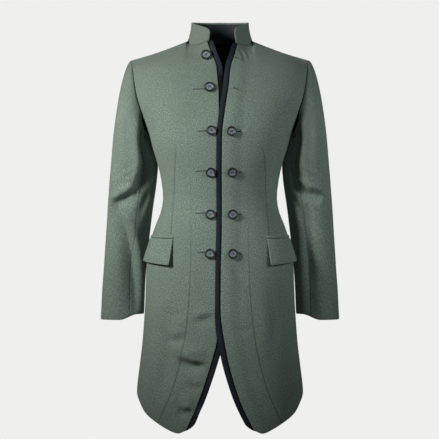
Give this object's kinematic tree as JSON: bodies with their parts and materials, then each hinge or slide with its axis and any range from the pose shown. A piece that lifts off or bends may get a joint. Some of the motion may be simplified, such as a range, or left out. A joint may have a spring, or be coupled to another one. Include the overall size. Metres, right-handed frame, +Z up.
{
  "type": "military frock coat with a stand collar",
  "caption": "Stand-collared wool frock coat, filled out and hollow: princess-seamed fronts with dark edge bands, flap pockets, two-piece sleeves and a cut-away skirt.",
  "frame": {"origin": "in the middle of the neck opening, level with the tops of the two shoulder seams", "axes": "+Z up the coat, -Y out of its front, +X to the wearer's left"},
  "size_m": [0.6018, 0.2814, 1.0137],
  "materials": {
    "wool": "brushed wool, matt",
    "navy_facing": "dark satin facing",
    "button": "polished horn"
  },
  "bodies": {
    "root": {"front_left": "wool", "side_front_left": "wool", "back_left": "wool", "edge_band_left": "navy_facing", "top_sleeve_left": "wool", "under_sleeve_left": "wool", "pocket_welt_left": "wool", "pocket_flap_left": "wool", "button_left_1": "button", "button_left_2": "button", "button_left_3": "button", "button_left_4": "button", "front_right": "wool", "side_front_right": "wool", "back_right": "wool", "edge_band_right": "navy_facing", "top_sleeve_right": "wool", "under_sleeve_right": "wool", "pocket_welt_right": "wool", "pocket_flap_right": "wool", "button_right_1": "button", "button_right_2": "button", "button_right_3": "button", "button_right_4": "button", "button_right_5": "button", "button_right_6": "button", "collar": "wool"}
  },
  "joints": []
}
